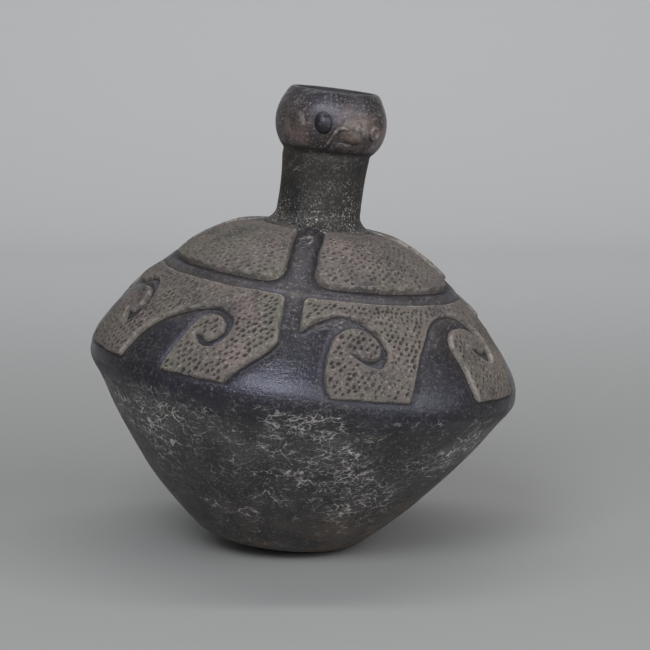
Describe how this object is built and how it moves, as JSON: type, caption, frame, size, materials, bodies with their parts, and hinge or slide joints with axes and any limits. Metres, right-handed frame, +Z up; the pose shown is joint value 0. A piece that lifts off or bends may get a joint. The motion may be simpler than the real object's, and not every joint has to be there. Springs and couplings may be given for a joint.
{
  "type": "clay bottle",
  "caption": "Hand-built black clay bottle: keeled body on a domed base, raised punctated panels around burnished waves, short neck and hollow spout bulb with a worn animal face.",
  "frame": {"origin": "centre of the flat spot under the domed base, where the bottle rests", "axes": "+Z up, -Y towards the side with the middle burnished strap (front), the bottle's own axis leans 7.1 degrees towards +X"},
  "size_m": [0.2002, 0.2014, 0.2178],
  "materials": {
    "burnished_black_clay": "burnished, soft dark sheen",
    "matte_panel_clay": "matte, scraped and punctated",
    "smoked_bowl_clay": "smoke-blackened, worn satin with pale root marks",
    "speckled_neck_clay": "worn satin with pale speckles",
    "worn_face_clay": "worn, reddish brown where the black has rubbed off"
  },
  "bodies": {
    "root": {"base_disc": "smoked_bowl_clay", "lower_bowl": "smoked_bowl_clay", "keel_coil": "burnished_black_clay", "shoulder_dome": "burnished_black_clay", "scroll_panel_back_left": "matte_panel_clay", "scroll_panel_back_right": "matte_panel_clay", "scroll_panel_front_left": "matte_panel_clay", "scroll_panel_front_right": "matte_panel_clay", "cap_panel_back_left": "matte_panel_clay", "cap_panel_back_right": "matte_panel_clay", "cap_panel_front_left": "matte_panel_clay", "cap_panel_front_right": "matte_panel_clay", "neck_collar": "speckled_neck_clay", "neck_tube": "speckled_neck_clay", "spout_bulb": "burnished_black_clay", "lip_coil": "burnished_black_clay", "left_eye": "burnished_black_clay", "right_eye": "worn_face_clay", "left_ear": "worn_face_clay", "right_ear": "worn_face_clay", "muzzle": "worn_face_clay", "mouth_ridge": "worn_face_clay"}
  },
  "joints": []
}
